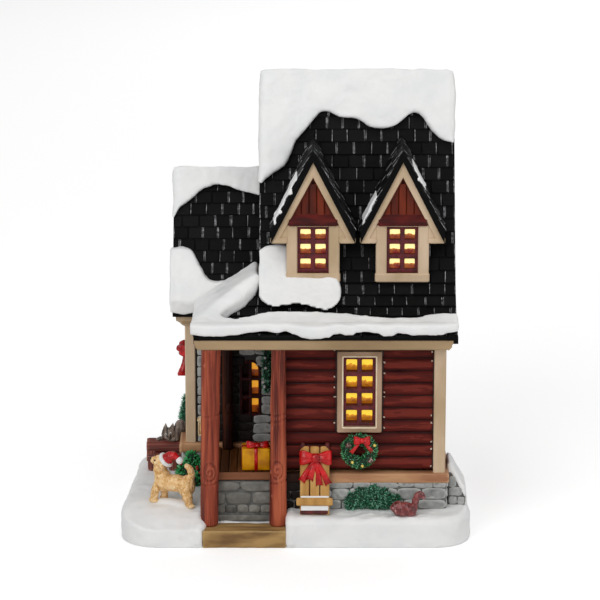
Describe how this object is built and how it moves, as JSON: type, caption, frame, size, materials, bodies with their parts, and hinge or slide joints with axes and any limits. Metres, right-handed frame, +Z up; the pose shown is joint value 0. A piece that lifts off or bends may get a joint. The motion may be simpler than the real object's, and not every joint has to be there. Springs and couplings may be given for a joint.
{
  "type": "ceramic christmas village house",
  "caption": "Snow-covered ceramic village house with a steep dormered roof, a stone wing and an open porch, lit through amber windows by a battery lamp unit in its base.",
  "frame": {"origin": "middle of the base's rectangle, on the table", "axes": "+X to the right of the front, +Y to the rear, +Z up; the front faces -Y"},
  "size_m": [0.1368, 0.108, 0.178],
  "materials": {
    "snow_glaze": "glossy white glaze over soft modelled snow",
    "stone_paint": "grey painted stone courses",
    "log_paint": "dark red painted logs with darker grooves",
    "tan_paint": "tan painted timber",
    "sill_paint": "warm brown painted timber",
    "roof_paint": "black painted shingles, dry-brushed grey",
    "gable_paint": "red-brown boards with tan barge boards",
    "sash_paint": "wine-red painted window bars",
    "amber_sheet": "translucent amber sheet, lit from inside",
    "post_paint": "red-brown painted peeled log",
    "step_paint": "brown painted timber step",
    "foliage_paint": "dark green painted evergreen",
    "holly_paint": "bright green leaves with red berries",
    "ribbon_paint": "bright red painted ribbon",
    "gift_paint": "yellow painted box with a red ribbon",
    "sled_paint": "tan slats on dark red runners",
    "bench_paint": "dark brown painted logs",
    "dog_paint": "tan painted coat with a red and white hat",
    "cat_paint": "grey striped coat",
    "squirrel_paint": "red-brown coat",
    "lantern_paint": "tan painted lantern",
    "unit_plastic": "moulded off-white plastic",
    "knob_plastic": "moulded black plastic",
    "cell_can": "plain printed steel can",
    "contact_steel": "sprung nickel-plated strip",
    "board_resin": "green lacquered board",
    "lamp_resin": "clear warm lamp resin",
    "wire_cover": "insulated hook-up wire",
    "screw_steel": "pan-head steel screw"
  },
  "bodies": {
    "root": {"arched_window_sash": "sash_paint", "base_plinth": "snow_glaze", "battery_cells": "cell_can", "battery_contacts": "contact_steel", "battery_tray": "unit_plastic", "bottom_plate": "unit_plastic", "buttress_snow": "snow_glaze", "cat": "cat_paint", "dog": "dog_paint", "dormer_cap_snow": "snow_glaze", "dormer_foot_snow": "snow_glaze", "dormer_sashes": "sash_paint", "eave_snow": "snow_glaze", "front_shrub": "foliage_paint", "front_step": "step_paint", "front_window_frame": "tan_paint", "front_window_sash": "sash_paint", "gift_box": "gift_paint", "holly_bush": "holly_paint", "lamp_board": "board_resin", "lamps": "lamp_resin", "lead_wires": "wire_cover", "left_dormer": "gable_paint", "left_dormer_roof": "roof_paint", "left_porch_post": "post_paint", "log_bench": "bench_paint", "main_foundation": "stone_paint", "main_ridge_snow": "snow_glaze", "main_roof": "roof_paint", "main_sill": "sill_paint", "main_walls": "log_paint", "plate_screws": "screw_steel", "porch_floor": "sill_paint", "porch_foundation": "stone_paint", "porch_roof": "roof_paint", "porch_swag": "foliage_paint", "rear_porch_post": "post_paint", "right_dormer": "gable_paint", "right_dormer_roof": "roof_paint", "right_porch_post": "post_paint", "side_tree": "foliage_paint", "side_window_frames": "tan_paint", "side_window_sashes": "sash_paint", "sled": "sled_paint", "slide_switch": "unit_plastic", "squirrel": "squirrel_paint", "stone_buttress": "stone_paint", "trim_boards": "tan_paint", "wall_bow": "ribbon_paint", "wall_lantern": "lantern_paint", "window_panes": "amber_sheet", "wing_eave_snow": "snow_glaze", "wing_foundation": "stone_paint", "wing_ridge_snow": "snow_glaze", "wing_roof": "roof_paint", "wing_sill": "sill_paint", "wing_walls": "stone_paint", "wreath": "foliage_paint"},
    "door": {"battery_door": "unit_plastic"},
    "knob": {"switch_knob": "knob_plastic"}
  },
  "joints": [
    {"name": "battery_door_hinge", "type": "hinge", "parent": "root", "child": "door", "pos_m": [0.02575, -0.0293, 0.0032], "axis": [-1, 0, 0], "range_deg": [0, 95]},
    {"name": "switch_slide", "type": "slide", "parent": "root", "child": "knob", "axis": [1, 0, 0], "range_m": [0, 0.0025]}
  ]
}
